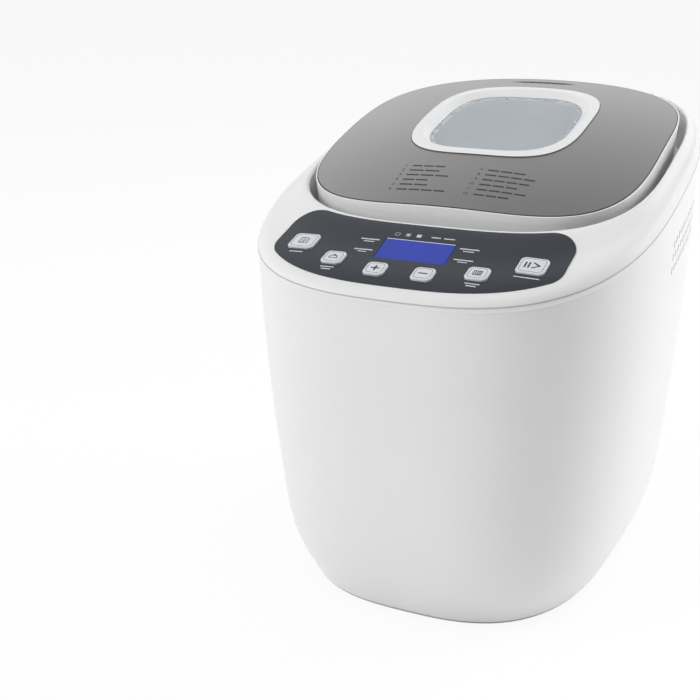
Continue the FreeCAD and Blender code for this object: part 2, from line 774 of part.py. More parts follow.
def build_oven():
    """Folded sheet oven under the well, its heater, stand-offs, temperature probe and pan seat."""
    wall = dim("oven_wall")
    wide = dim("oven_half_width")
    deep = dim("oven_half_depth")
    floor = dim("oven_floor")
    y = dim("oven_y")
    outer = rounded_block(wide, deep, y, dim("oven_corner"), floor, FAR)
    inner = rounded_block(wide - wall, deep - wall, y, dim("oven_corner") - wall, floor + wall, 2 * FAR)
    lid_side = above(*rim_plane(-dim("well_depth") - dim("well_wall")))
    shaft_hole = drive_cylinder(dim("shaft_hole_radius"), 0, floor + CUT_REACH)
    feature("oven_chamber", outer.cut(inner).cut(lid_side).cut(shaft_hole))

    heater_x = dim("heater_half_width")
    rod = dim("heater_radius")
    centre_z = dim("heater_z")
    path = rounded_block(heater_x, dim("heater_half_depth"), y, dim("heater_bend"), centre_z, centre_z + CUT_REACH)
    face = [item for item in path.Faces if item.BoundBox.ZMax < centre_z + 1][0]
    start = face.OuterWire.Edges[0]
    place = start.valueAt(start.FirstParameter)
    section = Part.Wire([Part.Circle(place, start.tangentAt(start.FirstParameter), rod).toShape()])
    feature("heating_element", face.OuterWire.makePipeShell([section], True, False))
    stands = []
    for side in (-1, 1):
        for end in (-1, 1):
            corner = Vector(side * heater_x - dim("stand_width") / 2,
                            y + end * dim("stand_y") - dim("stand_length") / 2, floor + wall)
            stands.append(Part.makeBox(dim("stand_width"), dim("stand_length"), centre_z - rod - floor - wall, corner))
    feature("heater_stands", Part.makeCompound(stands))

    probe = DOC.addObject("Part::Cylinder", "temperature_probe")
    probe.setExpression("Radius", cell("probe_radius"))
    probe.setExpression("Height", cell("probe_length"))
    probe.Placement.Rotation = Rotation(Vector(0, 0, 1), Vector(0, -1, 0))
    probe.setExpression("Placement.Base.y", f"{cell('oven_y')} + {cell('oven_half_depth')} - {cell('oven_wall')}")
    probe.setExpression("Placement.Base.z", cell("probe_z"))
    keep(probe, "temperature_probe")

    low = floor + wall
    high = low + dim("seat_height")
    ring = drive_cylinder(dim("seat_outer_radius"), low, high).cut(
        drive_cylinder(dim("seat_inner_radius"), low, high))
    tabs = [sector(dim("tab_inner_radius"), dim("tab_outer_radius"), dim("tab_low"), dim("tab_high"), 180 * index,
                   dim("tab_half_angle")) for index in range(2)]
    feature("pan_seat", ring.fuse(tabs))


# Pan, paddle and handle


def build_pan():
    """Bread pan with its bayonet ring, shaft bush, spindle, paddle and bail handle."""
    y = dim("oven_y")
    wall = dim("pan_wall")
    low = dim("pan_bottom")
    top = dim("pan_top")
    wide = dim("pan_half_width")
    deep = dim("pan_half_depth")
    corner = dim("pan_corner")
    lip = dim("pan_flange")
    outer = rounded_block(wide, deep, y, corner, low, top)
    flange = rounded_block(wide + lip, deep + lip, y, corner + lip, top - dim("pan_flange_thickness"), top)
    inner = rounded_block(wide - wall, deep - wall, y, corner - wall, low + wall, FAR)
    bush_hole = drive_cylinder(dim("bush_radius"), 0, top)
    ear_half = dim("pan_ear_half")
    ear_low = top - dim("pan_ear_overlap")
    ear_height = dim("handle_pivot_z") - ear_low + ear_half
    ears = [Part.makeBox(wall, 2 * ear_half, ear_height, Vector(corner_x, y - ear_half, ear_low))
            for corner_x in (-wide, wide - wall)]
    feature("bread_pan", outer.fuse(flange).cut(inner).cut(bush_hole).fuse(ears))

    ring = dim("pan_ring_radius")
    ring_low = dim("pan_ring_low")
    foot = drive_cylinder(ring, ring_low, low).cut(drive_cylinder(ring - dim("pan_ring_wall"), 0, FAR))
    lugs = [sector(ring - dim("pan_ring_wall") / 2, ring + dim("pan_lug_reach"), ring_low, dim("pan_lug_high"),
                   180 * index, dim("tab_half_angle")) for index in range(2)]
    feature("pan_ring", foot.fuse(lugs))
    bush_low = low - dim("bush_flange")
    bush = drive_cylinder(dim("bush_radius"), bush_low, low + wall + dim("bush_rise"))
    bush = bush.fuse(drive_cylinder(dim("bush_flange_radius"), bush_low, low))
    feature("pan_bush", bush.cut(shaft_bore()))
    for name, side in (("pivot_left", -1), ("pivot_right", 1)):
        outward = Vector(side, 0, 0)
        start = Vector(side * wide, y, dim("handle_pivot_z"))
        post = Part.makeCylinder(dim("pivot_radius"), dim("pivot_length"), start, outward)
        head = Part.makeCylinder(dim("pivot_head_radius"), dim("pivot_head"),
                                 start + outward * dim("pivot_length"), outward)
        feature(name, post.fuse(head))

    spindle = DOC.addObject("Part::Cylinder", "pan_spindle")
    spindle.setExpression("Radius", cell("shaft_radius"))
    spindle.setExpression("Height", cell("spindle_length"))
    spindle.setExpression("Placement.Base.y", cell("oven_y"))
    spindle.setExpression("Placement.Base.z", f"{cell('pan_bottom')} - {cell('spindle_below')}")
    keep(spindle, "pan_spindle")
    feature("pan_coupling", coupling(low - dim("spindle_below"), -1, 90))

    base = low + wall + dim("paddle_lift")
    hub = drive_cylinder(dim("paddle_hub_radius"), base, base + dim("paddle_hub_height"))
    feature("kneading_paddle", hub.fuse(paddle_blade(base)).cut(shaft_bore()))
    build_handle()


def paddle_blade(low):
    """The paddle's one blade, tall at the hub and falling to its tip."""
    reach = dim("paddle_reach")
    thick = dim("paddle_thickness")
    high = low + dim("paddle_height")
    y = dim("oven_y") - thick / 2
    points = [Vector(0, y, low), Vector(reach, y, low), Vector(reach, y, low + dim("paddle_height") / 3),
              Vector(dim("paddle_hub_radius"), y, high), Vector(0, y, high)]
    face = Part.Face(Part.makePolygon(points + points[:1]))
    blade = face.extrude(Vector(0, thick, 0))
    tip = [edge for edge in blade.Edges if edge.BoundBox.XMin > reach - 1 and edge.BoundBox.YLength < 1]
    return blade.makeFillet(thick / 3, tip)


def coupling(hub_low, way, angle):
    """A hub with two driving wings, above it or below it, about the drive's axis."""
    radius = dim("coupling_radius")
    hub_high = hub_low + dim("coupling_hub")
    wing_low = hub_high if way > 0 else hub_low - dim("wing_height")
    wings = [sector(dim("wing_inner_radius"), radius, wing_low, wing_low + dim("wing_height"), angle + 180 * index,
                    dim("wing_half_angle")) for index in range(2)]
    bore = drive_cylinder(dim("shaft_radius"), 0, FAR)
    return drive_cylinder(radius, hub_low, hub_high).fuse(wings).cut(bore)


def build_handle():
    """Bail handle lying back on the pan, with an eye round each pivot."""
    y = dim("oven_y")
    z = dim("handle_pivot_z")
    x = dim("handle_x")
    rod = dim("handle_rod")
    far = y + dim("handle_arm")
    bend = dim("handle_bend")
    corner = bend * math.sqrt(0.5)
    eye = dim("handle_eye")
    points = {side: (Vector(side * x, y + eye - rod / 2, z), Vector(side * x, far - bend, z),
                     Vector(side * (x - bend + corner), far - bend + corner, z),
                     Vector(side * (x - bend), far, z)) for side in (-1, 1)}
    left = points[-1]
    right = points[1]
    path = Part.Wire([Part.makeLine(left[0], left[1]), Part.Arc(left[1], left[2], left[3]).toShape(),
                      Part.makeLine(left[3], right[3]), Part.Arc(right[3], right[2], right[1]).toShape(),
                      Part.makeLine(right[1], right[0])])
    section = Part.Wire([Part.Circle(left[0], Vector(0, 1, 0), rod).toShape()])
    bail = path.makePipeShell([section], True, False)
    eyes = [Part.makeCylinder(eye, 2 * rod, Vector(side * (x - rod), y, z), Vector(side, 0, 0)) for side in (-1, 1)]
    bores = Part.makeCylinder(dim("pivot_radius") + dim("running_gap"), 2 * FAR, Vector(-FAR, y, z), Vector(1, 0, 0))
    feature("pan_handle", bail.fuse(eyes).cut(bores))


# Drive


def build_drive():
    """Drive frame, bearing, shaft, pulleys, belt, motor and power board."""
    y = dim("oven_y")
    plate_low = dim("frame_plate_z")
    plate_top = plate_low + dim("frame_plate_thickness")
    floor = dim("oven_floor")
    base_top = dim("base_height")
    plate = column(dim("frame_half_width"), dim("frame_half_depth"), dim("frame_y"), dim("base_power"),
                   (plate_low, 0), (plate_top, 0))
    posts = []
    for side in (-1, 1):
        for end in (-1, 1):
            x = side * dim("post_x")
            foot = Vector(x, dim("frame_y") + end * dim("post_y"), base_top)
            head = Vector(x, y + end * dim("oven_post_y"), plate_top)
            posts.append(Part.makeCylinder(dim("post_radius"), plate_low - base_top, foot))
            posts.append(Part.makeCylinder(dim("post_radius"), floor - plate_top, head))
    motor_hole = Part.makeCylinder(dim("motor_hole_radius"), FAR, Vector(dim("motor_x"), dim("motor_y"), 0))
    holes = [drive_cylinder(dim("bearing_radius"), 0, FAR), motor_hole]
    feature("drive_frame", plate.fuse(posts).cut(holes))

    low = plate_low - dim("bearing_below")
    bearing = drive_cylinder(dim("bearing_radius"), low, low + dim("bearing_length")).fuse(
        drive_cylinder(dim("bearing_flange_radius"), plate_top, plate_top + dim("bearing_flange")))
    feature("drive_bearing", bearing.cut(shaft_bore()))

    shaft = DOC.addObject("Part::Cylinder", "drive_shaft")
    shaft.setExpression("Radius", cell("shaft_radius"))
    shaft.setExpression("Placement.Base.y", cell("oven_y"))
    shaft.setExpression("Placement.Base.z", f"{cell('pulley_bottom')} - {cell('shaft_below')}")
    shaft.setExpression("Height", f"{cell('oven_floor')} - {cell('pulley_bottom')} + {cell('shaft_below')}"
                                  f" + {cell('shaft_above')}")
    keep(shaft, "drive_shaft")
    feature("drive_coupling", coupling(floor + dim("coupling_lift"), 1, 0))
    turned_pulley("drive_pulley", "pulley_radius", 0.0, y)
    turned_pulley("motor_pulley", "motor_pulley_radius", dim("motor_x"), dim("motor_y"))

    motor_shaft = DOC.addObject("Part::Cylinder", "motor_shaft")
    motor_shaft.setExpression("Radius", cell("shaft_radius"))
    motor_shaft.setExpression("Placement.Base.x", cell("motor_x"))
    motor_shaft.setExpression("Placement.Base.y", cell("motor_y"))
    motor_shaft.setExpression("Placement.Base.z", f"{cell('pulley_bottom')} - {cell('shaft_below')}")
    motor_shaft.setExpression("Height", f"{cell('frame_plate_z')} + {cell('frame_plate_thickness')}"
                                        f" - {cell('pulley_bottom')} + {cell('shaft_below')}"
                                        f" + {cell('motor_shaft_depth')}")
    keep(motor_shaft, "motor_shaft")
    place = Vector(dim("motor_x"), dim("motor_y"), plate_top)
    stator = Part.makeCylinder(dim("motor_radius"), dim("motor_height"), place)
    well = Part.makeCylinder(dim("shaft_radius") + dim("running_gap"),
                             dim("motor_shaft_depth") + dim("motor_shaft_end"), place)
    feature("motor", stator.cut(well))
    build_belt()
    build_power_board(plate_top)


def build_power_board(plate_top):
    """Power board on four stands, with the motor's capacitor."""
    board = DOC.addObject("Part::Box", "power_board")
    board.setExpression("Length", cell("power_board_length"))
    board.setExpression("Width", cell("power_board_width"))
    board.setExpression("Height", cell("board_thickness"))
    board.setExpression("Placement.Base.x", cell("power_board_x"))
    board.setExpression("Placement.Base.y", cell("power_board_y"))
    board.Placement.Base.z = plate_top + dim("power_board_lift")
    keep(board, "power_board")
    inset = dim("board_stand_inset")
    stands = []
    for x in (inset, dim("power_board_length") - inset):
        for y in (inset, dim("power_board_width") - inset):
            foot = Vector(dim("power_board_x") + x, dim("power_board_y") + y, plate_top)
            stands.append(Part.makeCylinder(dim("board_stand_radius"), dim("power_board_lift"), foot))
    feature("board_stands", Part.makeCompound(stands))
    capacitor = DOC.addObject("Part::Cylinder", "motor_capacitor")
    capacitor.setExpression("Radius", cell("capacitor_radius"))
    capacitor.setExpression("Height", cell("capacitor_height"))
    capacitor.setExpression("Placement.Base.x", cell("capacitor_x"))
    capacitor.setExpression("Placement.Base.y", cell("capacitor_y"))
    capacitor.Placement.Base.z = plate_top + dim("power_board_lift") + dim("board_thickness")
    keep(capacitor, "motor_capacitor")


def turned_pulley(name, radius_alias, x, y):
    """A flanged pulley turned about its shaft, from a half section."""
    bore = dim("shaft_radius")
    radius = dim(radius_alias)
    height = dim("pulley_height")
    flange = dim("pulley_flange")
    side = (height - dim("belt_height")) / 2 - dim("belt_gap")
    profile = [(bore, 0), (radius + flange, 0), (radius + flange, side), (radius, side), (radius, height - side),
               (radius + flange, height - side), (radius + flange, height), (bore, height)]
    body = DOC.addObject("PartDesign::Body", name)
    plane = [item for item in body.Origin.OriginFeatures if item.Role == "XZ_Plane"][0]
    sketch = body.newObject("Sketcher::SketchObject", f"{name}_section")
    sketch.AttachmentSupport = [(plane, "")]
    sketch.MapMode = "FlatFace"
    points = [Vector(*pair, 0) for pair in profile]
    for start, end in zip(points, points[1:] + points[:1]):
        sketch.addGeometry(Part.LineSegment(start, end))
    turned = body.newObject("PartDesign::Revolution", f"{name}_turned")
    turned.Profile = sketch
    turned.ReferenceAxis = (sketch, ["V_Axis"])
    turned.Angle = 360
    body.Placement.Base = Vector(x, y, dim("pulley_bottom"))
    keep(body, name)


def build_belt():
    """Flat belt round both pulleys, a hair clear of each."""
    big = Vector(0, dim("oven_y"), 0)
    small = Vector(dim("motor_x"), dim("motor_y"), 0)
    between = small - big
    lean = math.acos((dim("pulley_radius") - dim("motor_pulley_radius")) / between.Length)
    heading = math.atan2(between.y, between.x)
    low = dim("pulley_bottom") + (dim("pulley_height") - dim("belt_height")) / 2

    def loop(extra):
        """A closed outline along both pulleys, the given distance outside them."""
        radii = ((big, dim("pulley_radius") + extra), (small, dim("motor_pulley_radius") + extra))

        def spot(index, angle):
            centre, radius = radii[index]
            return centre + Vector(radius * math.cos(angle), radius * math.sin(angle), low)

        first = heading + lean
        second = heading - lean
        edges = [Part.makeLine(spot(0, first), spot(1, first)),
                 Part.Arc(spot(1, first), spot(1, heading), spot(1, second)).toShape(),
                 Part.makeLine(spot(1, second), spot(0, second)),
                 Part.Arc(spot(0, second), spot(0, heading + math.pi), spot(0, first)).toShape()]
        return Part.Face(Part.Wire(edges))

    strip = loop(dim("belt_gap") + dim("belt_thickness")).cut(loop(dim("belt_gap")))
    feature("drive_belt", strip.extrude(Vector(0, 0, dim("belt_height"))))


def write_parts():
    """Check every object, then write one file for each sub-part."""
    DOC.recompute()
    for obj in DOC.Objects:
        if {"Invalid", "Error"} & set(obj.State):
            raise RuntimeError(f"{obj.Label} did not build")
    os.makedirs("parts", exist_ok=True)
    for obj in SUB_PARTS:
        if obj.Shape.isNull() or not obj.Shape.isValid():
            raise RuntimeError(f"{obj.Label} has no valid shape")
        if not obj.Shape.Solids:
            raise RuntimeError(f"{obj.Label} is not solid")
    for obj in SUB_PARTS:
        obj.Shape.exportStep(f"parts/{obj.Label}.step")


build_lower_housing()
build_base()
build_gland()
build_top_housing()
build_hinge_pins()
build_keypad()
build_lid()
build_oven()
build_pan()
build_drive()
write_parts()
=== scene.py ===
import json
import math

import bmesh
import bpy
from mathutils import Matrix, Vector
from mathutils.bvhtree import BVHTree


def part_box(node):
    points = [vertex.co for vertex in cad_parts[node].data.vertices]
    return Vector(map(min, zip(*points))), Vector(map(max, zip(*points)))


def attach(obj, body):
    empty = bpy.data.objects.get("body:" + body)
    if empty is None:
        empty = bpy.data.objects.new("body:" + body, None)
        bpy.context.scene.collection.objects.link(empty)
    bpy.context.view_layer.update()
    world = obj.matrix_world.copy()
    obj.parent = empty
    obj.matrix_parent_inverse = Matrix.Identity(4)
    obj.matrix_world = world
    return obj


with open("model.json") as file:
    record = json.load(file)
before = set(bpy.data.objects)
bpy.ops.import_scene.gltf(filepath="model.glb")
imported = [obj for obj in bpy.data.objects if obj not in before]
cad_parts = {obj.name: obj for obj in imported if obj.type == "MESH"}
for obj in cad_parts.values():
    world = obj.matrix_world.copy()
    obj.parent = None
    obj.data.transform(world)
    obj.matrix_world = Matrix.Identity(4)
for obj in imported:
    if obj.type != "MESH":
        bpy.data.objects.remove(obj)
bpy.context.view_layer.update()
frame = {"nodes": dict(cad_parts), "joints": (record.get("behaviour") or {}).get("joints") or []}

bl_info = {
    "name": "Bread machine looks",
    "version": (1, 0, 0),
    "blender": (4, 5, 0),
    "location": "View3D > Sidebar > Bread machine",
    "description": "Finishes, printed marks and stage of a household bread machine",
    "category": "Object",
}

MM = 0.001
NODES = frame["nodes"]

# Which finish each CAD node takes
FINISHES = {
    "white_plastic": ("lower_housing", "top_housing", "lid_frame", "window_bezel"),
    "grey_plastic": ("base_plate", "board_stands"),
    "black_plastic": ("cord_gland", "display_module", "key_switches", "motor_capacitor", "drive_pulley",
                      "lid_vent"),
    "key_plastic": ("key_menu", "key_weight", "key_plus", "key_minus", "key_crust", "key_start"),
    "panel_film": ("panel_overlay",),
    "display_film": ("display_window",),
    "foot_rubber": ("foot_1", "foot_2", "foot_3", "foot_4"),
    "seal_rubber": ("lid_seal",),
    "belt_rubber": ("drive_belt",),
    "steel_bar": ("hinge_pin_left", "hinge_pin_right", "heating_element", "temperature_probe", "drive_shaft",
                  "drive_coupling", "motor_shaft", "motor_pulley", "pivot_left", "pivot_right", "pan_spindle",
                  "pan_coupling", "pan_handle"),
    "oven_sheet": ("oven_chamber", "pan_seat", "lid_liner"),
    "lid_steel": ("lid_plate",),
    "painted_frame": ("drive_frame", "motor"),
    "pan_coating": ("bread_pan", "pan_ring", "kneading_paddle"),
    "brass": ("drive_bearing", "pan_bush"),
    "circuit_board": ("control_board", "power_board"),
    "ceramic_white": ("heater_stands",),
    "window_glass": ("window_glass", "inner_window"),
}


class BreadMachineLooks(bpy.types.PropertyGroup):
    """Colours and sizes that a user would change."""

    white: bpy.props.FloatVectorProperty(
        name="White plastic", description="Colour of the housing and the lid's frame", subtype="COLOR",
        default=(0.80, 0.80, 0.805))
    steel: bpy.props.FloatVectorProperty(
        name="Lid steel", description="Colour of the brushed plate", subtype="COLOR",
        default=(0.60, 0.595, 0.59))
    slate: bpy.props.FloatVectorProperty(
        name="Keypad film", description="Colour of the keypad's film", subtype="COLOR",
        default=(0.036, 0.041, 0.050))
    key_grey: bpy.props.FloatVectorProperty(
        name="Keys", description="Colour of the keys", subtype="COLOR", default=(0.66, 0.68, 0.71))
    display_blue: bpy.props.FloatVectorProperty(
        name="Display", description="Colour of the lit display", subtype="COLOR",
        default=(0.022, 0.040, 0.290))
    ink: bpy.props.FloatVectorProperty(
        name="Dark ink", description="Colour of the icons and the lid's print", subtype="COLOR",
        default=(0.02, 0.02, 0.022))
    label: bpy.props.FloatVectorProperty(
        name="Pale ink", description="Colour of the keypad's small marks", subtype="COLOR",
        default=(0.55, 0.57, 0.60))
    mark_height: bpy.props.FloatProperty(
        name="Print height", description="How far print stands over its surface", unit="LENGTH",
        default=0.06 * MM)
    row_pitch: bpy.props.FloatProperty(
        name="List pitch", description="Distance between rows of the lid's list", unit="LENGTH",
        default=5.4 * MM)
    camera_lens: bpy.props.FloatProperty(
        name="Lens", description="Focal length of the camera", unit="CAMERA", default=61.7)
    key_light: bpy.props.FloatProperty(
        name="Main light", description="Power of the large light at the rear right", subtype="POWER",
        default=36.0)
    fill_light: bpy.props.FloatProperty(
        name="Front light", description="Power of the large light at the front left", subtype="POWER",
        default=22.5)
    top_light: bpy.props.FloatProperty(
        name="Top light", description="Power of the weaker light overhead", subtype="POWER", default=13.0)


def looks():
    """The scene's settings for this object."""
    return bpy.context.scene.bread_machine


# Shader maths


class Wire:
    """A value in a shader tree. Arithmetic on it adds Math nodes."""

    def __init__(self, tree, socket):
        self.tree = tree
        self.socket = socket

    def math(self, operation, first, second=None):
        node = self.tree.nodes.new("ShaderNodeMath")
        node.operation = operation
        for slot, value in zip(node.inputs, (first, second)):
            if isinstance(value, Wire):
                self.tree.links.new(value.socket, slot)
            elif value is not None:
                slot.default_value = value
        return Wire(self.tree, node.outputs[0])

    def __add__(self, other):
        return self.math("ADD", self, other)

    __radd__ = __add__

    def __sub__(self, other):
        return self.math("SUBTRACT", self, other)

    def __rsub__(self, other):
        return self.math("SUBTRACT", other, self)

    def __mul__(self, other):
        return self.math("MULTIPLY", self, other)

    __rmul__ = __mul__

    def __truediv__(self, other):
        return self.math("DIVIDE", self, other)

    def clamp(self):
        return self.math("MINIMUM", self.math("MAXIMUM", self, 0.0), 1.0)


class Finish:
    """One material with a Principled shader, and short ways to add nodes to it."""

    def __init__(self, name):
        self.material = bpy.data.materials.new(name)
        self.material.use_nodes = True
        self.tree = self.material.node_tree
        self.shader = self.tree.nodes["Principled BSDF"]

    def add(self, kind, settings=None, **inputs):
        """A node of one kind, its settings set first, then its sockets' values or links."""
        node = self.tree.nodes.new(kind)
        for key, value in (settings or {}).items():
            setattr(node, key, value)
        for key, value in inputs.items():
            self.feed(node.inputs[key.replace("_", " ")], value)
        return node

    def feed(self, socket, value):
        """Set or link one socket."""
        if isinstance(value, Wire):
            self.tree.links.new(value.socket, socket)
        elif isinstance(value, bpy.types.NodeSocket):
            self.tree.links.new(value, socket)
        else:
            socket.default_value = value

    def place(self, scale=(1, 1, 1)):
        """Object coordinates, stretched."""
        coords = self.add("ShaderNodeTexCoord").outputs["Object"]
        return self.add("ShaderNodeMapping", Vector=coords, Scale=scale).outputs["Vector"]

    def noise(self, scale, detail=2.0, stretch=(1, 1, 1)):
        """A noise value between 0 and 1."""
        node = self.add("ShaderNodeTexNoise", Vector=self.place(stretch), Scale=scale, Detail=detail)
        return Wire(self.tree, node.outputs["Fac"])

    def blend(self, amount, first, second):
        """A colour between two colours."""
        node = self.add("ShaderNodeMix", {"data_type": "RGBA"})
        self.feed(node.inputs[0], amount)
        self.feed(node.inputs[6], (*first, 1))
        self.feed(node.inputs[7], (*second, 1))
        return node.outputs[2]

    def axis(self, name):
        """One Object coordinate."""
        coords = self.add("ShaderNodeTexCoord").outputs["Object"]
        return Wire(self.tree, self.add("ShaderNodeSeparateXYZ", Vector=coords).outputs[name])

    def bump(self, height, strength, distance):
        """Relief from a height value."""
        node = self.add("ShaderNodeBump", Height=height, Strength=strength, Distance=distance)
        self.feed(self.shader.inputs["Normal"], node.outputs["Normal"])

    def set(self, **values):
        """Constants and links on the shader's own sockets."""
        for key, value in values.items():
            self.feed(self.shader.inputs[key.replace("_", " ")], value)
        return self.material


def shade(colour, factor):
    """A colour made lighter or darker."""
    return tuple(min(1.0, part * factor) for part in colour)


def about_middle(noise, spread):
    """A noise value moved to lie round nought, and scaled."""
    return spread * (noise - 0.5)


def moulded(name, colour, roughness, grain=0.05, coat=0.0):
    """Moulded plastic or rubber: a fine spark-eroded grain with slow changes of gloss and tone."""
    finish = Finish(name)
    slow = finish.noise(scale=14.0)
    fine = finish.noise(scale=1400.0, detail=3.0)
    finish.bump(fine, strength=grain, distance=0.15 * MM)
    tone = finish.blend(slow, shade(colour, factor=0.975), shade(colour, factor=1.015))
    gloss = roughness + about_middle(slow, spread=0.06) + about_middle(fine, spread=0.05)
    return finish.set(Base_Color=tone, Roughness=gloss, Coat_Weight=coat, Coat_Roughness=0.12)


def brushed(name, colour, roughness, stretch, contrast=0.12):
    """Brushed metal: long fine lines that vary the tone and the gloss."""
    finish = Finish(name)
    lines = finish.noise(scale=1.0, detail=4.0, stretch=stretch)
    cloud = finish.noise(scale=9.0)
    finish.bump(lines, strength=0.06, distance=0.08 * MM)
    tone = finish.blend(lines, shade(colour, 1 - contrast), shade(colour, 1 + contrast))
    gloss = roughness + about_middle(lines, spread=0.10) + about_middle(cloud, spread=0.05)
    return finish.set(Base_Color=tone, Metallic=1.0, Roughness=gloss)


RASTER_PITCH = 0.5 * MM
RASTER_SHARE = 0.25
GLOW_SHARE = 0.5
GLOW_FALL = 0.35


def display_film():
    """Lit blue display: a fine dot raster, slightly brighter to the middle."""
    finish = Finish("display_film")
    colour = tuple(looks().display_blue)
    low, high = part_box("display_window")
    across = (finish.axis("X") - (low.x + high.x) / 2) / ((high.x - low.x) / 2)
    glow = (1 - across * across * GLOW_FALL).clamp()
    raster = finish.add("ShaderNodeTexChecker", Vector=finish.place(), Scale=1.0 / RASTER_PITCH).outputs["Fac"]
    light = Wire(finish.tree, raster) * RASTER_SHARE + glow * GLOW_SHARE
    tone = finish.blend(light, shade(colour, factor=0.8), shade(colour, factor=1.25))
    return finish.set(Base_Color=tone, Emission_Color=tone, Emission_Strength=0.3, Roughness=0.12)


def clear_glass():
    """Window glass, faintly blue and a little misted, with a pale diffuse share that is painted reflection."""
    finish = Finish("window_glass")
    mist = finish.noise(scale=40.0, detail=3.0)
    clear = 0.04
    misted = 0.10
    # Part of the light does not go through. That share shows the pale bluish base colour, a painted reflection
    # that lightens the window.
    return finish.set(Base_Color=(0.80, 0.85, 0.90, 1), Transmission_Weight=0.72, IOR=1.45,
                      Roughness=clear + misted * mist)


def solder_board():
    """Green circuit laminate with darker tracks."""
    finish = Finish("circuit_board")
    tracks = finish.add("ShaderNodeTexBrick", Vector=finish.place(), Scale=180.0).outputs["Fac"]
    return finish.set(Base_Color=finish.blend(tracks, (0.02, 0.16, 0.06), (0.03, 0.09, 0.04)), Roughness=0.4)


def make_finishes():
    """Every finish of the record, by slot name."""
    look = looks()
    return {
        "white_plastic": moulded("white_plastic", tuple(look.white), roughness=0.34, coat=0.25),
        "grey_plastic": moulded("grey_plastic", (0.42, 0.42, 0.43), roughness=0.5),
        "black_plastic": moulded("black_plastic", (0.03, 0.03, 0.033), roughness=0.45),
        "key_plastic": moulded("key_plastic", tuple(look.key_grey), roughness=0.36, grain=0.03),
        "panel_film": moulded("panel_film", tuple(look.slate), roughness=0.42, grain=0.12),
        "display_film": display_film(),
        "foot_rubber": moulded("foot_rubber", (0.05, 0.05, 0.05), roughness=0.8, grain=0.2),
        "seal_rubber": moulded("seal_rubber", (0.42, 0.42, 0.42), roughness=0.7, grain=0.2),
        "belt_rubber": moulded("belt_rubber", (0.02, 0.02, 0.02), roughness=0.7, grain=0.2),
        "steel_bar": brushed("steel_bar", (0.55, 0.55, 0.55), roughness=0.3, stretch=(400, 400, 400)),
        "oven_sheet": brushed("oven_sheet", (0.55, 0.55, 0.54), roughness=0.4, stretch=(700, 700, 30)),
        "lid_steel": brushed("lid_steel", tuple(look.steel), roughness=0.34, stretch=(12, 2600, 12),
                             contrast=0.07),
        "painted_frame": moulded("painted_frame", (0.25, 0.26, 0.27), roughness=0.45),
        "pan_coating": moulded("pan_coating", (0.055, 0.055, 0.06), roughness=0.5, grain=0.3),
        "brass": brushed("brass", (0.72, 0.52, 0.26), roughness=0.35, stretch=(300, 300, 300)),
        "circuit_board": solder_board(),
        "ceramic_white": moulded("ceramic_white", (0.75, 0.73, 0.68), roughness=0.6),
        "window_glass": clear_glass(),
    }


def ink(name, colour):
    """Screen-printed ink with a slightly uneven coat."""
    finish = Finish(name)
    patch = finish.noise(scale=900.0)
    tone = finish.blend(patch, shade(colour, factor=0.9), shade(colour, factor=1.1))
    gloss = 0.5
    return finish.set(Base_Color=tone, Roughness=gloss + about_middle(patch, spread=0.1))


# Surfaces that print lies on


# Over everything, where a look down starts
LOOK_HEIGHT = 1.0
# Steps in each rounded end or corner
ROUND_STEPS = 6


class Surface:
    """The outside of some CAD nodes, probed from above or along a direction."""

    def __init__(self, *names):
        points = []
        faces = []
        for name in names:
            mesh = NODES[name].data
            start = len(points)
            points += [vertex.co.copy() for vertex in mesh.vertices]
            faces += [[start + index for index in polygon.vertices] for polygon in mesh.polygons]
        self.tree = BVHTree.FromPolygons(points, faces)

    def hit(self, x, y):
        """Point and normal of the top over a place."""
        point, normal, _, _ = self.tree.ray_cast(Vector((x, y, LOOK_HEIGHT)), Vector((0, 0, -1)))
        if point is None:
            raise RuntimeError(f"nothing under x {x:.4f}, y {y:.4f}")
        return point, normal if normal.z > 0 else -normal

    def lie_at(self, x, y):
        """A matrix that lays a flat drawing on the top at a place in millimetres."""
        point, normal = self.hit(x * MM, y * MM)
        matrix = normal.to_track_quat("Z", "Y").to_matrix().to_4x4()
        matrix.translation = point
        return matrix


def new_piece(name, mesh, material, body):
    """A finished piece on a body, with its material."""
    piece = bpy.data.objects.new(name, mesh)
    bpy.context.scene.collection.objects.link(piece)
    piece.data.materials.clear()
    piece.data.materials.append(material)
    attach(piece, body)


def mesh_from(name, build):
    """A mesh made by a function that fills a bmesh."""
    mesh = bpy.data.meshes.new(name)
    work = bmesh.new()
    build(work)
    bmesh.ops.recalc_face_normals(work, faces=work.faces)
    work.to_mesh(mesh)
    work.free()
    return mesh


def add_slab(work, ring, matrix, height):
    """A thin closed slab over a flat closed ring of 2-D points."""
    low = [work.verts.new(matrix @ Vector((x, y, 0))) for x, y in ring]
    high = [work.verts.new(matrix @ Vector((x, y, height))) for x, y in ring]
    work.faces.new(low[::-1])
    work.faces.new(high)
    count = len(ring)
    for index in range(count):
        after = (index + 1) % count
        work.faces.new((low[index], low[after], high[after], high[index]))


def stroke_ring(start, end, width):
    """The outline of a straight stroke with round ends."""
    start = Vector(start)
    end = Vector(end)
    heading = math.atan2(end.y - start.y, end.x - start.x)
    ring = []
    for centre, turn in ((end, -math.pi / 2), (start, math.pi / 2)):
        for step in range(ROUND_STEPS + 1):
            angle = heading + turn + math.pi * step / ROUND_STEPS
            ring.append((centre.x + width / 2 * math.cos(angle), centre.y + width / 2 * math.sin(angle)))
    return ring


def rounded_ring(half, corner):
    """The outline of a square with round corners."""
    ring = []
    for quarter, (sx, sy) in enumerate(((1, 1), (-1, 1), (-1, -1), (1, -1))):
        for step in range(ROUND_STEPS + 1):
            angle = math.pi / 2 * (quarter + step / ROUND_STEPS)
            ring.append((sx * (half - corner) + corner * math.cos(angle),
                         sy * (half - corner) + corner * math.sin(angle)))
    return ring


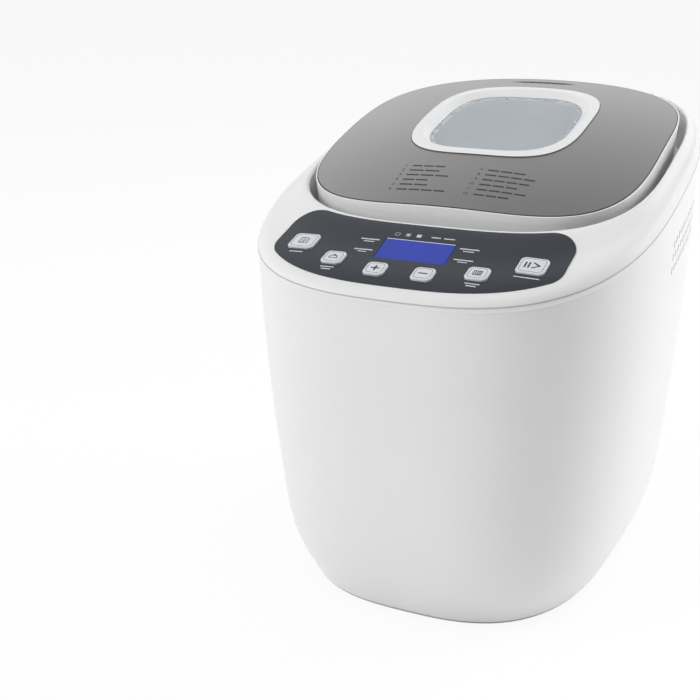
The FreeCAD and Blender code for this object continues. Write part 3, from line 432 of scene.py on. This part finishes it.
def add_band(work, rings):
    """A closed band over rings of points that run round its section."""
    rings = [[work.verts.new(point) for point in ring] for ring in rings]
    count = len(rings[0])
    for first, second in zip(rings, rings[1:] + rings[:1]):
        for index in range(count):
            after = (index + 1) % count
            work.faces.new((first[index], first[after], second[after], second[index]))


def add_frame(work, outer, inner, matrix, height):
    """A thin closed band between two flat rings with as many points each."""
    add_band(work, [[matrix @ Vector((x, y, level)) for x, y in ring]
                    for ring, level in ((outer, 0), (outer, height), (inner, height), (inner, 0))])


# Keys


# Strokes of each key's icon, in millimetres from the key's middle
KEY_ICONS = {
    "key_menu": [((-2.6, -3.2), (-2.6, 3.2)), ((-2.6, 3.2), (1.4, 3.2)), ((1.4, 3.2), (2.8, 1.8)),
                 ((2.8, 1.8), (2.8, -3.2)), ((2.8, -3.2), (-2.6, -3.2)), ((-1.2, 1.2), (1.4, 1.2)),
                 ((-1.2, -0.4), (1.4, -0.4)), ((-1.2, -1.9), (0.6, -1.9))],
    "key_weight": [((-2.6, -1.6), (2.6, -1.6)), ((-2.6, -1.6), (-2.0, 1.0)), ((2.6, -1.6), (2.0, 1.0)),
                   ((-2.0, 1.0), (2.0, 1.0)), ((-0.9, 1.0), (-0.5, 2.2)), ((0.9, 1.0), (0.5, 2.2)),
                   ((-0.5, 2.2), (0.5, 2.2))],
    "key_plus": [((-2.4, 0), (2.4, 0)), ((0, -2.4), (0, 2.4))],
    "key_minus": [((-2.4, 0), (2.4, 0))],
    "key_crust": [((-2.4, -2.2), (-2.4, 2.2)), ((2.4, -2.2), (2.4, 2.2)), ((-2.4, 2.2), (2.4, 2.2)),
                  ((-2.4, -2.2), (2.4, -2.2)), ((0.2, -1.7), (0.2, 1.7)), ((1.3, -1.7), (1.3, 1.7)),
                  ((-1.1, -1.7), (-1.1, 1.7))],
    "key_start": [((-4.2, -2.6), (-4.2, 2.6)), ((-2.0, -2.6), (-2.0, 2.6)), ((0.4, 2.7), (4.2, 0)),
                  ((0.4, -2.7), (4.2, 0))],
}
THIN_STROKE = 0.55
BOLD_STROKE = 1.0
BOLD_ICONS = ("key_plus", "key_minus", "key_start")
OUTLINE_INSET = 1.5 * MM
OUTLINE_WIDTH = 0.3 * MM
OUTLINE_CORNER = 2.6 * MM


def key_top(name):
    """A matrix that puts flat drawings on a key's top face, and the key's half size."""
    press = next(Vector(joint["axis"]) for joint in frame["joints"] if joint["child"] == name)
    normal = -press.normalized()
    side = Vector((1, 0, 0))
    side = (side - normal * side.dot(normal)).normalized()
    up = normal.cross(side)
    points = [vertex.co for vertex in NODES[name].data.vertices]
    reach = max(point.dot(normal) for point in points)
    left = min(point.dot(side) for point in points)
    right = max(point.dot(side) for point in points)
    near = min(point.dot(up) for point in points)
    far = max(point.dot(up) for point in points)
    centre = normal * reach + side * (left + right) / 2 + up * (near + far) / 2
    matrix = Matrix((side, up, normal)).transposed().to_4x4()
    matrix.translation = centre
    return matrix, (right - left) / 2


class BREADMACHINE_OT_keys(bpy.types.Operator):
    """Print a thin outline and an icon on each key"""

    bl_idname = "bread_machine.keys"
    bl_label = "Key prints"

    def execute(self, context):
        dark = ink("key_ink", tuple(looks().ink))
        line = ink("key_outline", (0.16, 0.17, 0.19))
        height = looks().mark_height
        for name, strokes in KEY_ICONS.items():
            matrix, half = key_top(name)
            width = (BOLD_STROKE if name in BOLD_ICONS else THIN_STROKE) * MM

            def draw_icon(work):
                for start, end in strokes:
                    ring = stroke_ring(Vector(start) * MM, Vector(end) * MM, width)
                    add_slab(work, ring, matrix, height)

            def draw_outline(work):
                outer = half - OUTLINE_INSET
                add_frame(work, rounded_ring(outer, OUTLINE_CORNER),
                          rounded_ring(outer - OUTLINE_WIDTH, OUTLINE_CORNER - OUTLINE_WIDTH), matrix, height)

            new_piece(f"{name}_icon", mesh_from(f"{name}_icon", draw_icon), dark, name)
            new_piece(f"{name}_line", mesh_from(f"{name}_line", draw_outline), line, name)
        return {"FINISHED"}


# Small bars on the keypad and the lid, placed by a node tree


def bar_tree():
    """Puts a flat bar on every point, as long and as wide as the point says, lying on the surface."""
    tree = bpy.data.node_groups.new("printed_bars", "GeometryNodeTree")
    face = tree.interface
    face.new_socket("Geometry", in_out="INPUT", socket_type="NodeSocketGeometry")
    thick = face.new_socket("Thickness", in_out="INPUT", socket_type="NodeSocketFloat")
    finish = face.new_socket("Finish", in_out="INPUT", socket_type="NodeSocketMaterial")
    face.new_socket("Geometry", in_out="OUTPUT", socket_type="NodeSocketGeometry")
    nodes = tree.nodes
    links = tree.links
    start = nodes.new("NodeGroupInput")
    end = nodes.new("NodeGroupOutput")
    cube = nodes.new("GeometryNodeMeshCube")
    cube.inputs["Size"].default_value = (1, 1, 1)
    put = nodes.new("GeometryNodeInstanceOnPoints")
    turn = nodes.new("FunctionNodeAlignRotationToVector")
    turn.axis = "Z"
    size = nodes.new("GeometryNodeInputNamedAttribute")
    size.data_type = "FLOAT_VECTOR"
    size.inputs["Name"].default_value = "bar_size"
    normal = nodes.new("GeometryNodeInputNamedAttribute")
    normal.data_type = "FLOAT_VECTOR"
    normal.inputs["Name"].default_value = "bar_normal"
    flat = nodes.new("ShaderNodeCombineXYZ")
    flat.inputs["X"].default_value = 1
    flat.inputs["Y"].default_value = 1
    scale = nodes.new("ShaderNodeVectorMath")
    scale.operation = "MULTIPLY"
    real = nodes.new("GeometryNodeRealizeInstances")
    paint = nodes.new("GeometryNodeSetMaterial")
    links.new(start.outputs["Geometry"], put.inputs["Points"])
    links.new(start.outputs["Thickness"], flat.inputs["Z"])
    links.new(size.outputs["Attribute"], scale.inputs[0])
    links.new(flat.outputs[0], scale.inputs[1])
    links.new(normal.outputs["Attribute"], turn.inputs["Vector"])
    links.new(cube.outputs["Mesh"], put.inputs["Instance"])
    links.new(turn.outputs["Rotation"], put.inputs["Rotation"])
    links.new(scale.outputs[0], put.inputs["Scale"])
    links.new(put.outputs["Instances"], real.inputs["Geometry"])
    links.new(real.outputs["Geometry"], paint.inputs["Geometry"])
    links.new(start.outputs["Finish"], paint.inputs["Material"])
    links.new(paint.outputs["Geometry"], end.inputs["Geometry"])
    return tree, thick.identifier, finish.identifier


def printed_bars(name, surface, bars, material, body):
    """Bars given as (x, y, length, width) in millimetres, printed on a surface."""
    tree, thick, finish = bar_tree()
    mesh = bpy.data.meshes.new(f"{name}_points")
    places = [surface.hit(x * MM, y * MM) for x, y, _, _ in bars]
    mesh.from_pydata([point for point, _ in places], [], [])
    sizes = mesh.attributes.new("bar_size", "FLOAT_VECTOR", "POINT")
    normals = mesh.attributes.new("bar_normal", "FLOAT_VECTOR", "POINT")
    for index, ((_, _, length, width), (_, normal)) in enumerate(zip(bars, places)):
        sizes.data[index].vector = (length * MM, width * MM, 1)
        normals.data[index].vector = normal
    maker = bpy.data.objects.new(f"{name}_maker", mesh)
    bpy.context.scene.collection.objects.link(maker)
    modifier = maker.modifiers.new("bars", "NODES")
    modifier.node_group = tree
    modifier[thick] = 2 * looks().mark_height
    modifier[finish] = material
    depsgraph = bpy.context.evaluated_depsgraph_get()
    result = bpy.data.meshes.new_from_object(maker.evaluated_get(depsgraph))
    bpy.data.objects.remove(maker)
    new_piece(name, result, material, body)


# The row of small marks over the display, and its three shades as (x, share filled)
MARKS_Y = -114.8
SHADES = ((-17.0, 0.0), (-10.0, 0.5), (-3.0, 1.0))
SHADE_HALF = 1.5 * MM
SHADE_EDGE = 0.25 * MM
SHADE_CORNER = 0.5 * MM
SHADE_INNER_CORNER = 0.3 * MM
SHADE_FILL_CORNER = 0.2 * MM
# The display's pale edge, in millimetres
EDGE_INSET = 0.9
EDGE_SHORTER = 0.6
EDGE_WIDTH = 0.7
# Keypad labels: short bars where small words would be, as (x, y, length, width)
LABELS = (
    [(x, y, length, 1.0) for x, y, length in (
        (-73.0, -141.8, 9.0), (73.0, -141.8, 15.0), (-45.5, -154.6, 9.0), (45.5, -154.6, 9.0),
        (-45.5, -156.6, 6.0), (45.5, -156.6, 6.0))]
    + [(side * 32.0, y, length, width) for side in (-1, 1) for y, length, width in (
        (-122.0, 12.0, 1.1), (-124.1, 7.0, 0.8), (-132.5, 12.0, 1.1), (-134.6, 6.0, 0.8))]
    + [(8.0, MARKS_Y, 6.0, 1.0), (16.5, MARKS_Y, 7.0, 1.0)]
)


class BREADMACHINE_OT_keypad(bpy.types.Operator):
    """Print the keypad's small marks and the display's pale edge"""

    bl_idname = "bread_machine.keypad"
    bl_label = "Keypad marks"

    def execute(self, context):
        pale = ink("panel_ink", tuple(looks().label))
        film = Surface("panel_overlay")
        printed_bars("keypad_labels", film, LABELS, pale, "housing")
        height = looks().mark_height

        def draw_shades(work):
            inner = SHADE_HALF - SHADE_EDGE
            for x, filled in SHADES:
                matrix = film.lie_at(x, MARKS_Y)
                add_frame(work, rounded_ring(SHADE_HALF, SHADE_CORNER), rounded_ring(inner, SHADE_INNER_CORNER),
                          matrix, height)
                if filled:
                    add_slab(work, rounded_ring(inner * math.sqrt(filled), SHADE_FILL_CORNER), matrix, height)

        new_piece("keypad_shades", mesh_from("keypad_shades", draw_shades), pale, "housing")
        low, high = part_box("display_window")
        glass = Surface("display_window")
        edge = (0.0, high.y / MM - EDGE_INSET, (high.x - low.x) / MM - EDGE_SHORTER, EDGE_WIDTH)
        printed_bars("display_edge", glass, [edge], ink("display_edge", (0.62, 0.66, 0.85)), "housing")
        return {"FINISHED"}


# Programme list on the lid: plain numerals, each with a plain bar


# Places and sizes in millimetres
LIST_LEFT = -40.0
LIST_RIGHT = 12.0
LIST_TOP = -46.0
LIST_INDENT = 3.0
LIST_BARS = (24.0, 22.0, 30.0, 18.0, 20.0, 34.0, 26.0, 34.0, 32.0, 26.0, 33.0, 24.0)
LIST_BAR_WIDTH = 1.4
WORD_LENGTH = 9
WORD_GAP = 1.2
NUMERAL_SIZE = 3.6


class BREADMACHINE_OT_list(bpy.types.Operator):
    """Print the numbered list on the lid's plate"""

    bl_idname = "bread_machine.list"
    bl_label = "Lid list"

    def execute(self, context):
        dark = ink("lid_ink", (0.05, 0.045, 0.045))
        plate = Surface("lid_plate")
        pitch = looks().row_pitch / MM
        bars = []
        mesh = bpy.data.meshes.new("lid_numerals")
        work = bmesh.new()
        for index, length in enumerate(LIST_BARS):
            column, row = divmod(index, len(LIST_BARS) // 2)
            x = LIST_RIGHT if column else LIST_LEFT
            y = LIST_TOP - row * pitch
            # Each bar is cut into word-long pieces, so that it follows the crowned plate
            words = max(2, round(length / WORD_LENGTH))
            step = length / words
            left = x + LIST_INDENT
            bars += [(left + (word + 0.5) * step, y, step - WORD_GAP, LIST_BAR_WIDTH) for word in range(words)]
            self.add_numeral(work, str(index + 1), plate.lie_at(x, y))
        work.to_mesh(mesh)
        work.free()
        new_piece("lid_numerals", mesh, dark, "lid")
        printed_bars("lid_list_bars", plate, bars, dark, "lid")
        return {"FINISHED"}

    def add_numeral(self, work, text, matrix):
        """Flat numerals laid on the plate."""
        curve = bpy.data.curves.new("numeral", "FONT")
        curve.body = text
        curve.size = NUMERAL_SIZE * MM
        curve.align_x = "RIGHT"
        curve.align_y = "CENTER"
        curve.extrude = looks().mark_height
        holder = bpy.data.objects.new("numeral", curve)
        mesh = bpy.data.meshes.new_from_object(holder)
        mesh.transform(matrix)
        work.from_mesh(mesh)
        bpy.data.objects.remove(holder)
        bpy.data.curves.remove(curve)
        bpy.data.meshes.remove(mesh)


# Seams: the dark joints round the lid's plate and window, and the fine grey line of painted shade round the
# housing under its deck


SEAM_STEPS = 240
# How far beside a joint its height is taken
JOINT_STEP = 0.4 * MM
PLATE_SEAM = 0.6 * MM
BEZEL_SEAM = 0.5 * MM
# Half width, half depth, middle and power of the rounded outlines that the seams follow
PLATE_OUTLINE = (112.15 * MM, 108.15 * MM, 20.5 * MM, 3.5)
BEZEL_OUTLINE = (58.85 * MM, 64.25 * MM, 35.0 * MM, 3.3)
# Height over the origin and slope of the plane that the line round the housing lies in
PARTING_HEIGHT = 265.2 * MM
PARTING_SLOPE = 0.24
PARTING_HALF = 0.35 * MM
PARTING_PROUD = 0.12 * MM
PLANE_ROUNDS = 4
# Where the search for the housing's wall starts, and the least distance from the axis that it may find
HOUSING_REACH = 165.0 * MM
HOUSING_LEAST = 126.0 * MM
WALL_SLIP = 0.05 * MM


def rounded_outline(half_x, half_y, centre, power):
    """Points round a squarish outline, each with the direction that points out of it."""
    points = []
    for step in range(SEAM_STEPS):
        angle = 2 * math.pi * step / SEAM_STEPS
        cosine = math.cos(angle)
        sine = math.sin(angle)
        reach = (abs(cosine / half_x) ** power + abs(sine / half_y) ** power) ** (-1 / power)
        points.append(Vector((reach * cosine, centre + reach * sine)))
    outline = []
    for index, point in enumerate(points):
        along = points[(index + 1) % SEAM_STEPS] - points[index - 1]
        outline.append((point, Vector((along.y, -along.x)).normalized()))
    return outline


class BREADMACHINE_OT_seams(bpy.types.Operator):
    """Draw the fine joints of the lid and the housing"""

    bl_idname = "bread_machine.seams"
    bl_label = "Seams"

    def execute(self, context):
        dark = ink("lid_joint", (0.06, 0.06, 0.062))
        lid = Surface("lid_frame", "lid_plate", "window_bezel")
        for name, shape, width in (("plate_joint", PLATE_OUTLINE, PLATE_SEAM),
                                   ("window_joint", BEZEL_OUTLINE, BEZEL_SEAM)):
            outline = rounded_outline(*shape)
            mesh = mesh_from(name, lambda work: self.lid_joint(work, lid, outline, width))
            new_piece(name, mesh, dark, "lid")
        # The parting line's grey is painted shade: the joint is white on white, darkened where the deck
        # overhangs it.
        mesh = mesh_from("parting_line", self.parting_line)
        new_piece("parting_line", mesh, ink("parting_shade", (0.46, 0.46, 0.465)), "housing")
        return {"FINISHED"}

    def lid_joint(self, work, lid, outline, width):
        """A thin dark band that lies on the lid along an outline."""
        height = looks().mark_height
        rings = []
        for side, level in ((1, -height), (1, height), (-1, height), (-1, -height)):
            ring = []
            for point, outward in outline:
                place = point + outward * (side * width / 2)
                # The joint's own gap is stepped over, and the height is carried back along the face
                probe = place + outward * (side * JOINT_STEP)
                top, normal = lid.hit(probe.x, probe.y)
                back = place - probe
                drop = (normal.x * back.x + normal.y * back.y) / normal.z
                ring.append(Vector((place.x, place.y, top.z - drop)) + normal * level)
            rings.append(ring)
        add_band(work, rings)

    def parting_line(self, work):
        """A thin grey band of painted shade along the housing's joint, where the deck's overhang would shade
        it, found by looking inwards along its plane.
        """
        shell = Surface("lower_housing", "top_housing")
        rings = [[], [], [], []]
        for step in range(SEAM_STEPS):
            # Half a step off the axes, where the mesh has its seams
            angle = 2 * math.pi * (step + 0.5) / SEAM_STEPS
            inward = Vector((-math.cos(angle), -math.sin(angle), 0))
            proud = inward * PARTING_PROUD
            high = self.wall_point(shell, inward, PARTING_HALF)
            low = self.wall_point(shell, inward, -PARTING_HALF)
            for ring, point in zip(rings, (high + proud, high - proud, low - proud, low + proud)):
                ring.append(point)
        add_band(work, rings)

    def wall_point(self, shell, inward, lift):
        """Where the housing's wall meets the line's plane, lifted a little, on the side that is looked at."""
        point = inward * -HOUSING_REACH
        for _ in range(PLANE_ROUNDS):
            level = PARTING_HEIGHT + PARTING_SLOPE * point.y + lift
            point = self.near_wall(shell, Vector((-inward.x, -inward.y, level)), inward)
        return point

    def near_wall(self, shell, start, inward):
        """The wall on the near side. A look can slip between triangles, so it is tried a little aside too."""
        aside = Vector((-inward.y, inward.x, 0))
        for slip in (0, WALL_SLIP, -WALL_SLIP):
            point, _, _, _ = shell.tree.ray_cast(start + aside * slip, inward)
            if point and -point.dot(inward) > HOUSING_LEAST:
                return point
        raise RuntimeError("the look along the line's plane went through the housing's wall")


class BREADMACHINE_OT_finishes(bpy.types.Operator):
    """Give every CAD node its procedural finish"""

    bl_idname = "bread_machine.finishes"
    bl_label = "Finishes"

    def execute(self, context):
        finishes = make_finishes()
        for slot, names in FINISHES.items():
            for name in names:
                data = NODES[name].data
                data.materials.clear()
                data.materials.append(finishes[slot])
        return {"FINISHED"}


# Stage


CAMERA_PLACE = (0.2641, -0.7718, 0.4129)
CAMERA_AZIMUTH = math.radians(25.5)
CAMERA_ELEVATION = math.radians(18.41)
SENSOR_WIDTH = 36.0
LAMP_AIM = (0.0, 0.0, 0.16)
FLOOR_HALF = 60.0
FLOOR_WHITE = 0.92
# Strength of the surroundings: on matt surfaces, through glass, and in metal, where it falls with height
EVEN_LIGHT = 0.304
GLASS_LIGHT = 0.6
MIRROR_LIGHT = 0.8
MIRROR_LOW = 1.6
MIRROR_FALL = 1.42


class BREADMACHINE_OT_stage(bpy.types.Operator):
    """Build the pale floor, the soft lights, the white surroundings and the camera"""

    bl_idname = "bread_machine.stage"
    bl_label = "Stage"

    def execute(self, context):
        self.floor()
        self.world(context.scene)
        self.lamp("main_light", place=(1.3, 1.4, 1.0), size=1.6, power=looks().key_light)
        self.lamp("front_light", place=(-1.45, -1.4, 1.0), size=1.5, power=looks().fill_light)
        self.lamp("top_light", place=(0.0, -0.2, 2.0), size=1.2, power=looks().top_light)
        self.camera(context.scene)
        context.scene.view_settings.view_transform = "Standard"
        return {"FINISHED"}

    def floor(self):
        """A wide pale floor that takes the shadow."""
        mesh = bpy.data.meshes.new("floor")
        corners = [(sx * FLOOR_HALF, sy * FLOOR_HALF, 0) for sx, sy in ((-1, -1), (1, -1), (1, 1), (-1, 1))]
        mesh.from_pydata(corners, [], [(0, 1, 2, 3)])
        floor = bpy.data.objects.new("floor", mesh)
        bpy.context.scene.collection.objects.link(floor)
        finish = Finish("floor_paper")
        dust = finish.noise(scale=30.0)
        finish.set(Base_Color=finish.blend(dust, (0.93, 0.93, 0.93), (0.95, 0.95, 0.95)), Roughness=0.9,
                   Specular_IOR_Level=0.0)
        # Seen directly or in metal and glass, the paper is mostly plain white, with the shadow left in it
        path = finish.add("ShaderNodeLightPath")
        seen = sum(Wire(finish.tree, path.outputs[ray]) for ray in
                   ("Is Camera Ray", "Is Glossy Ray", "Is Transmission Ray"))
        white = finish.add("ShaderNodeEmission")
        mix = finish.add("ShaderNodeMixShader")
        finish.feed(mix.inputs[0], seen.clamp() * FLOOR_WHITE)
        finish.feed(mix.inputs[1], finish.shader.outputs[0])
        finish.feed(mix.inputs[2], white.outputs[0])
        finish.feed(finish.tree.nodes["Material Output"].inputs["Surface"], mix.outputs[0])
        mesh.materials.append(finish.material)

    def world(self, scene):
        """White to the eye; even light; and for metal and glass, bright low down and greyer overhead."""
        world = bpy.data.worlds.new("surroundings")
        world.use_nodes = True
        tree = world.node_tree
        tree.nodes.clear()
        output = tree.nodes.new("ShaderNodeOutputWorld")
        coords = tree.nodes.new("ShaderNodeTexCoord")
        split = tree.nodes.new("ShaderNodeSeparateXYZ")
        tree.links.new(coords.outputs["Generated"], split.inputs[0])
        height = Wire(tree, split.outputs["Z"]).clamp()
        path = tree.nodes.new("ShaderNodeLightPath")
        seen = Wire(tree, path.outputs["Is Camera Ray"])
        through = Wire(tree, path.outputs["Is Transmission Ray"])
        glossy = Wire(tree, path.outputs["Is Glossy Ray"])
        mirror = (MIRROR_LOW - MIRROR_FALL * height).clamp() * MIRROR_LIGHT
        strength = (seen + through * GLASS_LIGHT + glossy * mirror).clamp()
        rest = (1.0 - seen - through - glossy).clamp() * EVEN_LIGHT
        background = tree.nodes.new("ShaderNodeBackground")
        background.inputs["Color"].default_value = (1, 1, 1, 1)
        tree.links.new((strength + rest).socket, background.inputs["Strength"])
        tree.links.new(background.outputs[0], output.inputs["Surface"])
        scene.world = world

    def lamp(self, name, place, size, power):
        """A large soft lamp aimed at the machine's middle."""
        data = bpy.data.lights.new(name, "AREA")
        data.shape = "DISK"
        data.size = size
        data.energy = power
        lamp = bpy.data.objects.new(name, data)
        lamp.location = place
        aim = Vector(LAMP_AIM) - Vector(place)
        lamp.rotation_euler = aim.to_track_quat("-Z", "Y").to_euler()
        lamp.visible_glossy = False
        bpy.context.scene.collection.objects.link(lamp)

    def camera(self, scene):
        """The photograph's point of view."""
        data = bpy.data.cameras.new("camera")
        data.lens = looks().camera_lens
        data.sensor_width = SENSOR_WIDTH
        camera = bpy.data.objects.new("camera", data)
        camera.location = CAMERA_PLACE
        level = math.cos(CAMERA_ELEVATION)
        ahead = Vector((-math.sin(CAMERA_AZIMUTH) * level, math.cos(CAMERA_AZIMUTH) * level,
                        -math.sin(CAMERA_ELEVATION)))
        camera.rotation_euler = ahead.to_track_quat("-Z", "Y").to_euler()
        scene.collection.objects.link(camera)
        scene.camera = camera


STEPS = (BREADMACHINE_OT_finishes, BREADMACHINE_OT_keys, BREADMACHINE_OT_keypad, BREADMACHINE_OT_list,
         BREADMACHINE_OT_seams, BREADMACHINE_OT_stage)


class BREADMACHINE_PT_panel(bpy.types.Panel):
    """The steps that dress the bread machine"""

    bl_idname = "BREADMACHINE_PT_panel"
    bl_label = "Bread machine"
    bl_space_type = "VIEW_3D"
    bl_region_type = "UI"
    bl_category = "Bread machine"

    def draw(self, context):
        for step in STEPS:
            self.layout.operator(step.bl_idname)


CLASSES = (BreadMachineLooks, *STEPS, BREADMACHINE_PT_panel)


def register():
    for item in CLASSES:
        bpy.utils.register_class(item)
    bpy.types.Scene.bread_machine = bpy.props.PointerProperty(type=BreadMachineLooks)


def unregister():
    del bpy.types.Scene.bread_machine
    for item in reversed(CLASSES):
        bpy.utils.unregister_class(item)


def main():
    register()
    bpy.ops.bread_machine.finishes()
    bpy.ops.bread_machine.keys()
    bpy.ops.bread_machine.keypad()
    bpy.ops.bread_machine.list()
    bpy.ops.bread_machine.seams()
    bpy.ops.bread_machine.stage()


if __name__ == "__main__":
    main()
